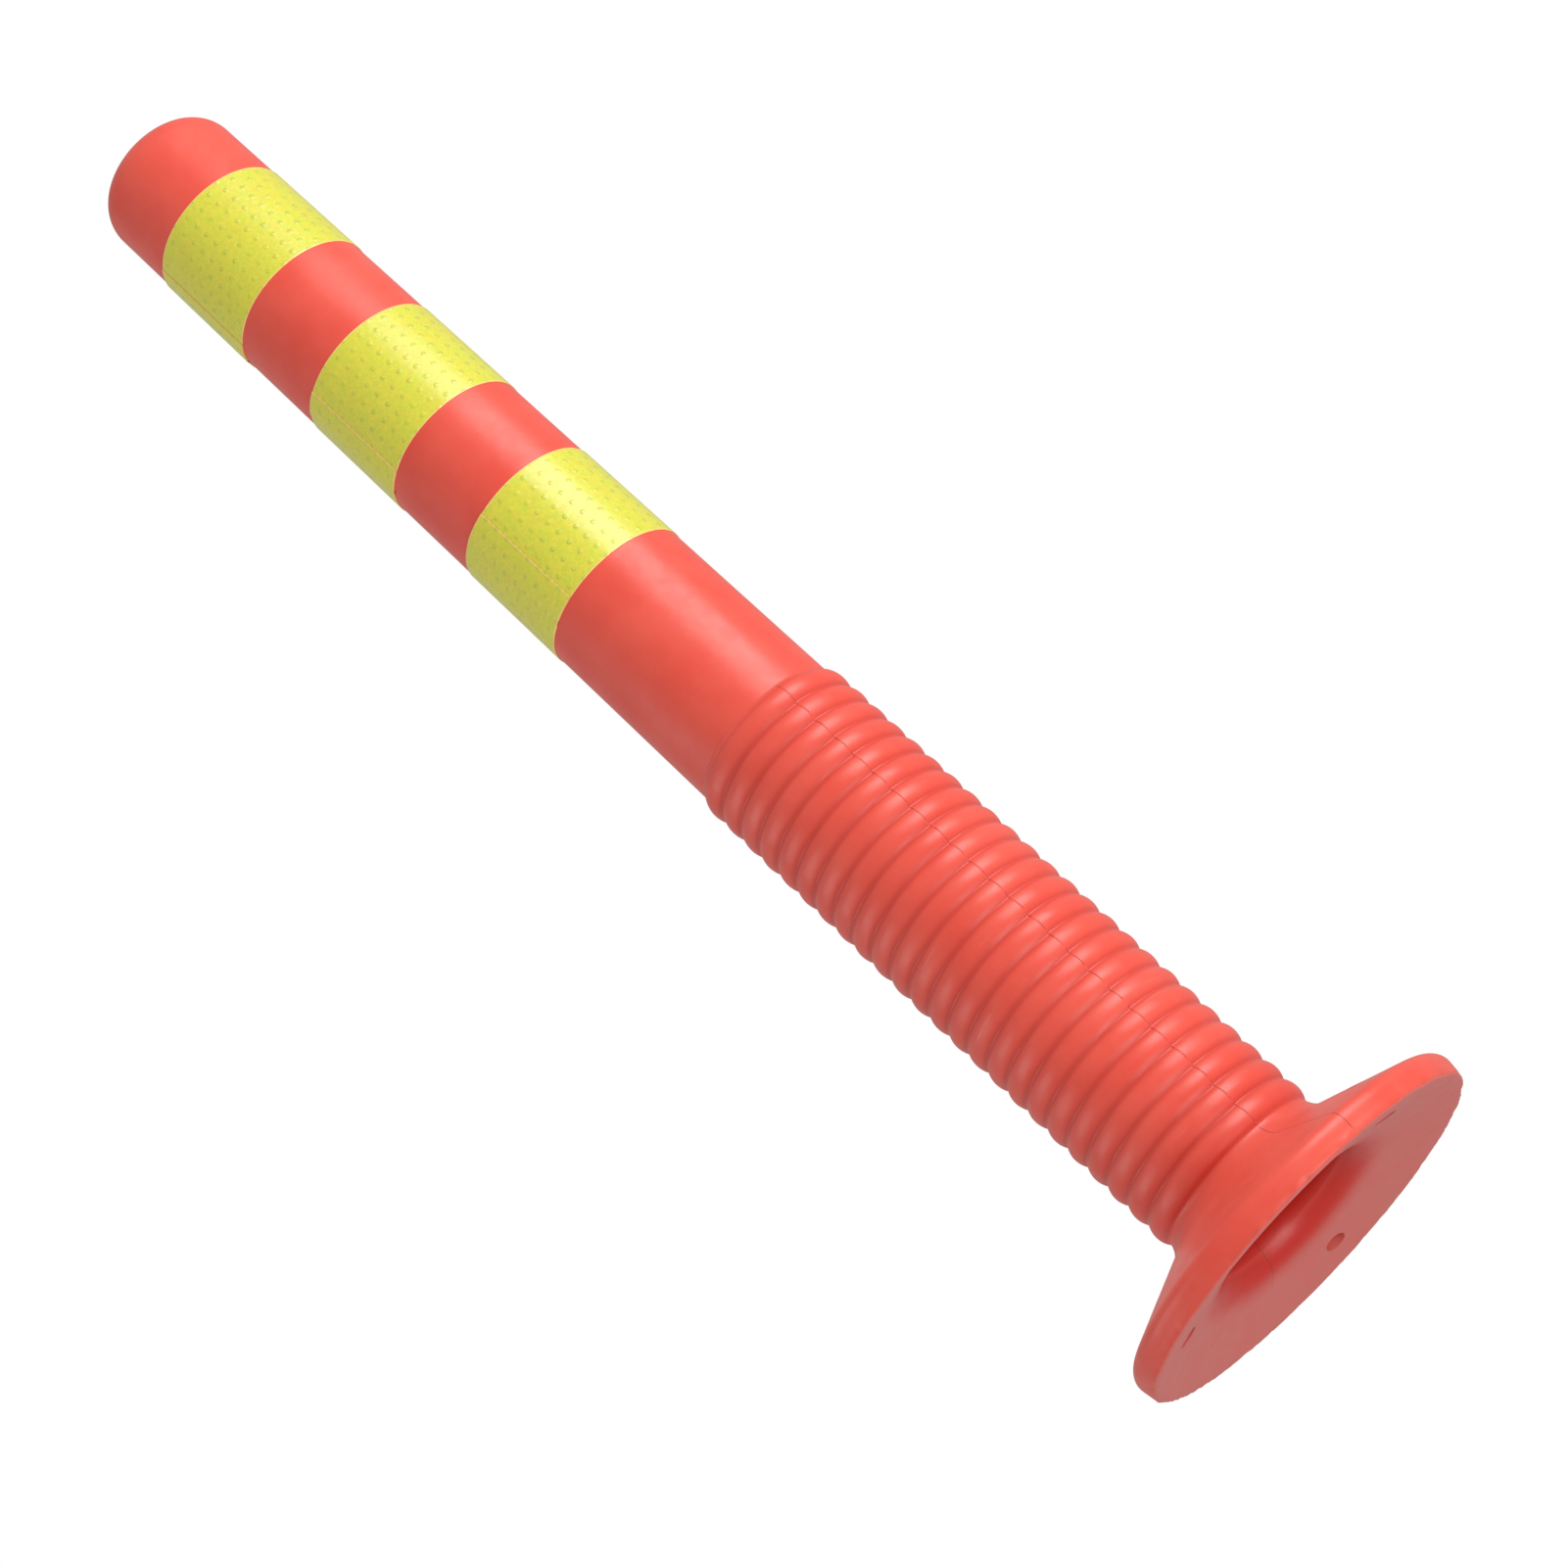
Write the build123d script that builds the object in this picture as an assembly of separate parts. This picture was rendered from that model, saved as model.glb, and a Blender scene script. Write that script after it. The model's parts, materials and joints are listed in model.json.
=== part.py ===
"""Flexible traffic delineator post: foot, corrugated bending section, tube and three reflective tapes.

The post stands on its foot, +Z up, with the origin at the centre of the foot's underside.
The corrugated section is a stack of crest rings, rib_01 lowest, with a thinner web ring in each
groove. The webs are where the post bends: each is a flexure between the pieces above and below.
All sizes are in millimetres.
"""
from build123d import *
import math
import os

# ---- overall ----
post_height = 750.0  # underside of the foot to the top of the dome
tube_radius_top = 36.1  # tube's outer radius at post_height
draft = 0.0039  # growth of every outer radius for each millimetre down
wall = 4.0  # tube's outer surface to the bore
top_wall = 5.0  # thickness of the closed top
top_edge_radius = 14.0
top_dome = 3.0  # rise of the domed top over its edge

# ---- corrugated bending section ----
rib_count = 24
rib_pitch = 11.5
first_rib_z = 45.8  # crest of the lowest rib
crest_stand = 2.8  # crest over the tube's surface
rib_depth = 2.0  # crest down to the bottom of a groove
bend_step = 3.0  # degrees that each groove bends, in each of its two directions
rib_clearance = 0.3  # left between two crest rings at the full bend

# ---- foot ----
foot_radius = 90.3  # widest, at the top of the rim band
rim_draft = 1.7  # the rim band is this much narrower at the underside
rim_height = 11.6
rim_edge_radius = 6.0
neck_stand = 0.4  # neck over the tube's surface carried down to it
neck_drop = 4.5  # foot's top down to where the slope would meet the neck
neck_radius = 12.0  # fillet from the slope into the neck, which ends under the lowest rib
land_width = 3.0  # flat ring that rests on the road
land_edge = 0.8  # bevel outside the land
dish_angle = 12.5  # degrees, underside from the land towards the bore
mouth_radius = 14.0  # fillet from the dish into the bore

# ---- anchor holes ----
hole_count = 3
hole_circle = 133.0
hole_diameter = 10.0
hole_phase = -35.5  # degrees from +X to the first hole

# ---- reflective tapes ----
tape_width = 60.0
tape_gap = 50.0
lowest_tape_z = 415.0
tape_thickness = 0.5
glue_line = 0.05
lap_arc = 20.0  # degrees of tape wrapped over its own start
seam_angles = [-112.0, -134.0, -152.0]  # degrees from +X to each tape's free end, lowest first

# ---- worked out ----
bend_reach = 2 * math.tan(math.radians(bend_step / math.sqrt(2)))  # closing for each mm of radius


def tube_radius(z):
    """Outer radius of the plain tube, or of its line carried down, at a height."""
    return tube_radius_top + draft * (post_height - z)


def bore_radius(z):
    """Radius of the hollow core at a height."""
    return tube_radius(z) - wall


def crest_radius(z):
    """Outer radius of the crest line at a height."""
    return tube_radius(z) + crest_stand


web_height = crest_radius(first_rib_z) * bend_reach + rib_clearance
rib_height = rib_pitch - web_height
crest_curve = ((rib_pitch / 2) ** 2 + rib_depth**2) / (2 * rib_depth)
foot_top = first_rib_z - rib_pitch / 2 - web_height / 2
last_rib_z = first_rib_z + (rib_count - 1) * rib_pitch
tube_bottom = last_rib_z + rib_pitch / 2 + web_height / 2
neck = tube_radius(foot_top) + neck_stand
slope_top = foot_top - neck_drop
slope = math.atan((slope_top - rim_height) / (foot_radius - neck))
neck_level = slope_top + neck_radius * math.tan((math.pi / 2 - slope) / 2)


def groove_z(number):
    """Height of a groove's middle; groove 1 lies under the lowest rib."""
    return first_rib_z + (number - 1.5) * rib_pitch


def rib_surface(rib_z, offset):
    """Outer radius of a rib's round crest at a distance above or below its middle."""
    drop = crest_curve - math.sqrt(crest_curve**2 - offset**2)
    return crest_radius(rib_z) - drop


def neck_surface(z):
    """Outer radius at a height on the fillet that runs from the foot's slope into the neck."""
    below = max(0.0, neck_level - z)
    return neck + neck_radius - math.sqrt(neck_radius**2 - below**2)


def turned(edges):
    """Solid of revolution about the post's axis from a closed outline in the XZ plane."""
    return revolve(make_face(edges), Axis.Z, 360)


def ring(outline, low, high):
    """Turns an outer outline, from low to high, into a ring with the drafted bore."""
    inner_low = (bore_radius(low), 0, low)
    inner_high = (bore_radius(high), 0, high)
    first = outline[0] @ 0
    last = outline[-1] @ 1
    edges = list(outline)
    edges.append(Line(last, inner_high))
    edges.append(Line(inner_high, inner_low))
    edges.append(Line(inner_low, first))
    return turned(edges)


def arc_on_rib(rib_z, start, end):
    """Arc along a rib's crest between two distances from its middle."""
    points = []
    for offset in (start, (start + end) / 2, end):
        points.append((rib_surface(rib_z, offset), 0, rib_z + offset))
    return ThreePointArc(*points)


def make_rib(number):
    """One crest ring of the corrugated section."""
    rib_z = first_rib_z + (number - 1) * rib_pitch
    half = rib_height / 2
    return ring([arc_on_rib(rib_z, -half, half)], rib_z - half, rib_z + half)


def make_groove(number):
    """The web ring that joins two ribs, or the end ribs to the foot and to the tube."""
    middle = groove_z(number)
    low = middle - web_height / 2
    high = middle + web_height / 2
    rib_below = middle - rib_pitch / 2
    rib_above = middle + rib_pitch / 2
    edge = rib_height / 2
    root = (rib_surface(rib_above, -rib_pitch / 2) + rib_surface(rib_below, rib_pitch / 2)) / 2
    quarter = (edge + rib_pitch / 2) / 2
    outline = []
    if number == 1:
        root = neck_surface(middle)
        between = (low + middle) / 2
        start = (neck_surface(low), 0, low)
        outline.append(ThreePointArc(start, (neck_surface(between), 0, between), (root, 0, middle)))
    else:
        start = (rib_surface(rib_below, edge), 0, low)
        between = (rib_surface(rib_below, quarter), 0, rib_below + quarter)
        bottom = root if number <= rib_count else tube_radius(middle)
        outline.append(ThreePointArc(start, between, (bottom, 0, middle)))
    if number > rib_count:
        outline.append(Line((tube_radius(middle), 0, middle), (tube_radius(high), 0, high)))
    else:
        end = (rib_surface(rib_above, -edge), 0, high)
        between = (rib_surface(rib_above, -quarter), 0, rib_above - quarter)
        outline.append(ThreePointArc((root, 0, middle), between, end))
    return ring(outline, low, high)


def rounded(points, radii):
    """Open path through points in the XZ plane, with a fillet radius at each inner corner."""
    return FilletPolyline(*[(x, 0, z) for x, z in points], radius=radii).edges()


def make_foot():
    """Foot flange with its dished underside, neck and anchor holes."""
    dish = math.tan(math.radians(dish_angle))
    rim_low = foot_radius - rim_draft
    land_outer = rim_low - land_edge
    land_inner = land_outer - land_width
    bore_low = bore_radius(0)
    slope_end = neck_level - neck_radius * math.cos(slope)
    outer = rounded(
        [
            (land_outer, 0),
            (rim_low, land_edge),
            (foot_radius, rim_height),
            (neck_surface(slope_end), slope_end),
        ],
        [land_edge / 4, rim_edge_radius],
    )
    fillet = []
    for z in (slope_end, (slope_end + foot_top) / 2, foot_top):
        fillet.append((neck_surface(z), 0, z))
    outer += [ThreePointArc(*fillet)]
    mouth_z = (land_inner - bore_low) * dish
    inner = rounded(
        [(bore_radius(foot_top), foot_top), (bore_low, mouth_z), (land_inner, 0)],
        [mouth_radius],
    )
    top = Line((neck_surface(foot_top), 0, foot_top), (bore_radius(foot_top), 0, foot_top))
    land = Line((land_inner, 0, 0), (land_outer, 0, 0))
    foot = turned(outer + [top] + inner + [land])
    for index in range(hole_count):
        turn = math.radians(hole_phase + index * 360 / hole_count)
        place = Pos(hole_circle / 2 * math.cos(turn), hole_circle / 2 * math.sin(turn), slope_top / 2)
        foot -= place * Cylinder(hole_diameter / 2, 2 * slope_top)
    return foot


def dome(radius, edge, rise, low, low_radius, top):
    """Half outline of a domed end: the side up from low, a rounded edge and a shallow dome."""
    shoulder = top - rise
    flat = radius - edge
    side = Line((low_radius, 0, low), (radius, 0, shoulder - edge))
    diagonal = edge * math.sqrt(0.5)
    middle = (flat + diagonal, 0, shoulder - edge + diagonal)
    corner = ThreePointArc((radius, 0, shoulder - edge), middle, (flat, 0, shoulder))
    curve = (flat**2 + rise**2) / (2 * rise)
    half_turn = math.asin(flat / curve) / 2
    between = (curve * math.sin(half_turn), 0, top - curve + curve * math.cos(half_turn))
    cap = ThreePointArc((flat, 0, shoulder), between, (0, 0, top))
    return [side, corner, cap]


def make_tube():
    """Upper tube, open below and closed by its domed top."""
    outside = dome(
        tube_radius(post_height - top_dome - top_edge_radius),
        top_edge_radius,
        top_dome,
        tube_bottom,
        tube_radius(tube_bottom),
        post_height,
    )
    inside_top = post_height - top_wall
    inside = dome(
        bore_radius(inside_top - top_dome - top_edge_radius + wall),
        top_edge_radius - wall,
        top_dome,
        tube_bottom,
        bore_radius(tube_bottom),
        inside_top,
    )
    axis_line = Line((0, 0, post_height), (0, 0, inside_top))
    end = Line((tube_radius(tube_bottom), 0, tube_bottom), (bore_radius(tube_bottom), 0, tube_bottom))
    return turned(outside + [axis_line, end] + inside)


def tape_layer(low, layer, arc):
    """One layer of tape round the tube over an arc that starts at +X."""
    high = low + tape_width
    inner = glue_line + layer * tape_thickness
    outer = inner + tape_thickness
    face = make_face(
        Polyline(
            (tube_radius(low) + inner, 0, low),
            (tube_radius(low) + outer, 0, low),
            (tube_radius(high) + outer, 0, high),
            (tube_radius(high) + inner, 0, high),
            close=True,
        )
    )
    return revolve(face, Axis.Z, arc)


def make_tape(index):
    """A wrapped reflective tape whose end is stuck over its start."""
    low = lowest_tape_z + index * (tape_width + tape_gap)
    lap = Rot(0, 0, seam_angles[index] - lap_arc) * tape_layer(low, 1, lap_arc)
    return tape_layer(low, 0, 360) + lap


def save(node, shape):
    """Writes one node."""
    export_step(shape, f"parts/{node}.step")


os.makedirs("parts", exist_ok=True)
save("foot", make_foot())
for rib_number in range(1, rib_count + 1):
    save(f"rib_{rib_number:02d}", make_rib(rib_number))
for groove_number in range(1, rib_count + 2):
    save(f"groove_{groove_number:02d}", make_groove(groove_number))
save("tube", make_tube())
for tape_index, tape_name in enumerate(["tape_lower", "tape_middle", "tape_upper"]):
    save(tape_name, make_tape(tape_index))
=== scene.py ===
"""Looks of a flexible traffic delineator post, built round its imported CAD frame.

The post stands on its foot at the origin, +Z up, in metres. Its moulded body is one hollow
wall: a foot, a corrugated bending section, whose wall is made as short rings so that it bends
at every groove, and a tube with a domed top. Three reflective tapes are wrapped round the tube.
"""

import json
import logging
import math
from dataclasses import dataclass, field
from enum import Enum
from typing import Sequence

import bpy
import numpy as np
from mathutils import Matrix, Vector


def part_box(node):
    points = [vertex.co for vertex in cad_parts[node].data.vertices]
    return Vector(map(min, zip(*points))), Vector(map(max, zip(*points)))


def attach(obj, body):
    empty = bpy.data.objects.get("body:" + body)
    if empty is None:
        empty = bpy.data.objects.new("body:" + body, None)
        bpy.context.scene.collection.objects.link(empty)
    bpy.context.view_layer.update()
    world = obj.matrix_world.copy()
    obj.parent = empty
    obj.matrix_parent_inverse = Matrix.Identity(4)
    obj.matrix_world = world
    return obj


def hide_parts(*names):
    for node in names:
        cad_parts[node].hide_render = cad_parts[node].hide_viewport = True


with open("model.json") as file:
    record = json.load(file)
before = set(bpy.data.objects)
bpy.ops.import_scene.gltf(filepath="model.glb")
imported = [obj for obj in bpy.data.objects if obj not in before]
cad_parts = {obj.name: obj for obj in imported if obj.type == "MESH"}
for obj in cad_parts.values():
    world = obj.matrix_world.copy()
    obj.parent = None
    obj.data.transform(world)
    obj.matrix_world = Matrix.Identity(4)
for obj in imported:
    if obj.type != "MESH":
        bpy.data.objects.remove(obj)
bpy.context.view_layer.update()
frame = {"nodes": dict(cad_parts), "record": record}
MM = 0.001
LOG = logging.getLogger("delineator_post")

DRAFT = 0.0039  # growth of every outer radius for each unit of length down
PARTING_TURN = math.radians(-62.0)  # direction of the plane where the mould halves met
TAPE_SEAMS = {"tape_lower": -112.0, "tape_middle": -134.0, "tape_upper": -152.0}  # free ends, degrees

Array = np.ndarray
Colour = tuple[float, float, float, float]
Place = tuple[float, float, float]
Socket = bpy.types.NodeSocket


class Side(Enum):
    """Which way a turned patch faces when its rows run in the order given."""

    LEFT = 1
    RIGHT = -1


# ---------------------------------------------------------------- shapes


def rounded_path(points: Sequence[tuple[float, float]], radii: Sequence[float], step: float) -> Array:
    """Outline through corner points with each inner corner turned into an arc.

    The arc starts and ends at radius * tan(half the turn) from the corner; straight runs and
    arcs are both divided into pieces no longer than step.

    Args:
        points: corners as (radius, height), in metres.
        radii: fillet radius at each inner corner.
        step: longest piece of the outline.

    Returns:
        Array of (radius, height) rows.
    """
    corners = np.array(points, float)
    parts = []
    last = corners[0]
    for index, radius in enumerate(radii, start=1):
        here = corners[index]
        back = corners[index - 1] - here
        ahead = corners[index + 1] - here
        back /= np.linalg.norm(back)
        ahead /= np.linalg.norm(ahead)
        half_open = math.acos(float(np.clip(back @ ahead, -1, 1))) / 2
        reach = radius / math.tan(half_open)
        start = here + back * reach
        end = here + ahead * reach
        bisector = back + ahead
        centre = here + bisector / np.linalg.norm(bisector) * radius / math.sin(half_open)
        parts.append(straight(last, start, step))
        parts.append(arc(centre, start, end, step))
        last = end
    parts.append(straight(last, corners[-1], step))
    parts.append(corners[-1:])
    return np.vstack(parts)


def straight(start: Array, end: Array, step: float) -> Array:
    """Points from start up to, and without, end, at most step apart."""
    count = max(1, math.ceil(float(np.linalg.norm(end - start)) / step))
    share = np.arange(count)[:, None] / count
    return start + (end - start) * share


def arc(centre: Array, start: Array, end: Array, step: float) -> Array:
    """Points of the shorter arc about centre from start up to, and without, end.

    A point is centre + first * cos(a) + side * sin(a), with side at right angles to first.
    """
    first = start - centre
    second = end - centre
    radius = float(np.linalg.norm(first))
    turn = math.acos(float(np.clip(first @ second / radius**2, -1, 1)))
    count = max(5, math.ceil(radius * turn / step))
    angle = np.arange(count)[:, None] / count * turn
    side = (second - first * math.cos(turn)) / math.sin(turn)
    return centre + first * np.cos(angle) + side * np.sin(angle)


def smooth_step(value: Array, low: float, high: float) -> Array:
    """Rises from 0 at low to 1 at high as 3s^2 - 2s^3."""
    share = np.clip((value - low) / (high - low), 0, 1)
    return share * share * (3 - 2 * share)


def wave_noise(angle: Array, seed: int, lowest: int, highest: int) -> Array:
    """Closed noise round a circle: a sum of sines of whole-number frequency, about -1 to 1.

    Args:
        angle: angles in radians.
        seed: seed of the sines' phases and sizes.
        lowest: lowest frequency.
        highest: highest frequency, not included.

    Returns:
        Noise for each angle.
    """
    draw = np.random.default_rng(seed)
    count = highest - lowest
    phase = draw.uniform(0, 2 * math.pi, count)
    size = draw.uniform(0.4, 1.0, count)
    turns = np.arange(lowest, highest)
    waves = size * np.sin(angle[..., None] * turns + phase)
    return waves.sum(-1) / math.sqrt(count)


def point_places(mesh: bpy.types.Mesh) -> Array:
    """Rows of x, y and z of a mesh's points."""
    places = np.empty(len(mesh.vertices) * 3, np.float32)
    mesh.vertices.foreach_get("co", places)
    return places.reshape(-1, 3)


def store(mesh: bpy.types.Mesh, name: str, vectors: Array) -> None:
    """Keeps one vector for each point of a mesh, as an attribute that finishes read."""
    layer = mesh.attributes.new(name, "FLOAT_VECTOR", "POINT")
    layer.data.foreach_set("vector", vectors.astype(np.float32).ravel())


@dataclass
class Shell:
    """A mesh gathered from grid patches, whose shared points are joined when it is made."""

    name: str
    points: list[Array] = field(default_factory=list)
    faces: list[Array] = field(default_factory=list)
    normals: list[Array] = field(default_factory=list)
    count: int = 0

    def patch(self, grid: Array, side: Side, closed: bool = True, normals: Array | None = None) -> None:
        """Adds a grid of points.

        Args:
            grid: points, rows by columns by 3.
            side: which way the patch faces.
            closed: whether the last column joins the first.
            normals: outward normals, the same shape as grid.
        """
        rows, columns = grid.shape[:2]
        index = np.arange(rows * columns).reshape(rows, columns) + self.count
        ahead = np.roll(index, -1, axis=1) if closed else index[:, 1:]
        here = index if closed else index[:, :-1]
        quads = np.stack([here[:-1], ahead[:-1], ahead[1:], here[1:]], -1).reshape(-1, 4)
        self.points.append(grid.reshape(-1, 3))
        self.faces.append(quads if side is Side.LEFT else quads[:, ::-1])
        if normals is not None:
            self.normals.append(normals.reshape(-1, 3))
        self.count += rows * columns

    def build(self, material: bpy.types.Material, crease: float = 40.0) -> bpy.types.Object:
        """Joins the patches, makes the object and shades it.

        Points that round to the same hundredth of a micrometre become one, and a quad that
        has two corners at one point, as at a pole, becomes a triangle. The rest place of each
        point is kept as an attribute for the finishes.

        Args:
            material: the piece's finish.
            crease: edges that turn by more degrees than this are sharp.

        Returns:
            The new object, at the origin.
        """
        points = np.vstack(self.points)
        _, first, inverse = np.unique(
            np.round(points * 1e8).astype(np.int64), axis=0, return_index=True, return_inverse=True
        )
        quads = inverse.reshape(-1)[np.vstack(self.faces)]
        doubled = quads == np.roll(quads, -1, axis=1)
        quads = quads[doubled.sum(1) < 2]
        keep = ~(quads == np.roll(quads, -1, axis=1))
        totals = keep.sum(1)
        corners = quads[keep]
        mesh = bpy.data.meshes.new(self.name)
        mesh.vertices.add(len(first))
        mesh.vertices.foreach_set("co", points[first].astype(np.float32).ravel())
        mesh.loops.add(len(corners))
        mesh.loops.foreach_set("vertex_index", corners.astype(np.int32))
        mesh.polygons.add(len(totals))
        starts = np.concatenate([[0], np.cumsum(totals)[:-1]])
        mesh.polygons.foreach_set("loop_start", starts.astype(np.int32))
        mesh.update(calc_edges=True)
        mesh.validate()
        mesh.polygons.foreach_set("use_smooth", np.ones(len(mesh.polygons), bool))
        mesh.set_sharp_from_angle(angle=math.radians(crease))
        if self.normals:
            mesh.normals_split_custom_set_from_vertices(np.vstack(self.normals)[first].tolist())
        store(mesh, "rest_place", points[first])
        piece = bpy.data.objects.new(self.name, mesh)
        bpy.context.scene.collection.objects.link(piece)
        mesh.materials.append(material)
        return piece


def turned(outline: Array, angles: Array) -> Array:
    """Grid of an outline carried round the post's axis: (r cos a, r sin a, z)."""
    radius = outline[:, :1]
    across = np.stack([radius * np.cos(angles), radius * np.sin(angles)], -1)
    height = np.broadcast_to(outline[:, 1:], radius.shape[:1] + angles.shape)
    return np.concatenate([across, height[..., None]], -1)


# ---------------------------------------------------------------- finishes


class Graph:
    """A material's node tree, with short calls for the nodes that the finishes use."""

    def __init__(self, name: str) -> None:
        """Makes the material with its surface shader."""
        self.material = bpy.data.materials.new(name)
        self.material.use_nodes = True
        self.tree = self.material.node_tree
        self.shader = self.tree.nodes["Principled BSDF"]

    def node(
        self, kind: str, inputs: dict[str | int, object] | None = None, **settings: object
    ) -> bpy.types.Node:
        """Adds a node.

        Args:
            kind: node type, such as ShaderNodeMath.
            inputs: socket name or number to a value or an output socket.
            settings: the node's own properties.

        Returns:
            The node.
        """
        made = self.tree.nodes.new(kind)
        for key, value in settings.items():
            setattr(made, key, value)
        for key, value in (inputs or {}).items():
            if isinstance(value, Socket):
                self.tree.links.new(value, made.inputs[key])
            elif value is not None:
                made.inputs[key].default_value = value
        return made

    def attribute(self, name: str) -> Socket:
        """The vector of a mesh attribute."""
        return self.node("ShaderNodeAttribute", attribute_name=name).outputs["Vector"]

    def split(self, vector: Socket) -> bpy.types.NodeOutputs:
        """The X, Y and Z of a vector."""
        return self.node("ShaderNodeSeparateXYZ", {0: vector}).outputs

    def math(self, operation: str, *values: object) -> Socket:
        """One sum on one to three values."""
        return self.node("ShaderNodeMath", dict(enumerate(values)), operation=operation).outputs[0]

    def product(self, first: object, *rest: object) -> Socket:
        """Values multiplied together, from the first on."""
        for value in rest:
            first = self.math("MULTIPLY", first, value)
        return first

    def stretch(self, vector: Socket, scale: Place) -> Socket:
        """A vector multiplied by a scale for each direction."""
        return self.node("ShaderNodeVectorMath", {0: vector, 1: scale}, operation="MULTIPLY").outputs[0]

    def noise(self, vector: Socket, scale: float, detail: float = 3.0, rough: float = 0.5) -> Socket:
        """Value of fractal noise, 0 to 1, with about scale blotches to the metre."""
        inputs = {"Vector": vector, "Scale": scale, "Detail": detail, "Roughness": rough}
        return self.node("ShaderNodeTexNoise", inputs).outputs["Fac"]

    def cells(self, vector: Socket, scale: float, feature: str = "F1") -> bpy.types.Node:
        """Voronoi cells, about scale to the metre."""
        return self.node("ShaderNodeTexVoronoi", {"Vector": vector, "Scale": scale}, feature=feature)

    def band(
        self, value: Socket, low: float, high: float, start: float = 0.0, end: float = 1.0
    ) -> Socket:
        """Maps low to high onto start to end, held at both ends, with a soft curve."""
        inputs = {"Value": value, "From Min": low, "From Max": high, "To Min": start, "To Max": end}
        return self.node("ShaderNodeMapRange", inputs, interpolation_type="SMOOTHSTEP").outputs["Result"]

    def blend(self, share: object, first: object, second: object, kind: str = "MIX") -> Socket:
        """Colour mixed from first to second by share."""
        mix = self.node("ShaderNodeMix", data_type="RGBA", blend_type=kind)
        for socket, value in ((mix.inputs[0], share), (mix.inputs[6], first), (mix.inputs[7], second)):
            if isinstance(value, Socket):
                self.tree.links.new(value, socket)
            else:
                socket.default_value = value
        return mix.outputs[2]

    def bump(self, height: Socket, strength: float, distance: float, below: object = None) -> Socket:
        """Surface normal raised by a height pattern, over another bump."""
        inputs = {"Height": height, "Strength": strength, "Distance": distance, "Normal": below}
        return self.node("ShaderNodeBump", inputs).outputs[0]

    def feed(self, socket: str, value: object) -> None:
        """Links an output to the surface shader, or sets its socket to a plain value."""
        if isinstance(value, Socket):
            self.tree.links.new(value, self.shader.inputs[socket])
        else:
            self.shader.inputs[socket].default_value = value


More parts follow.
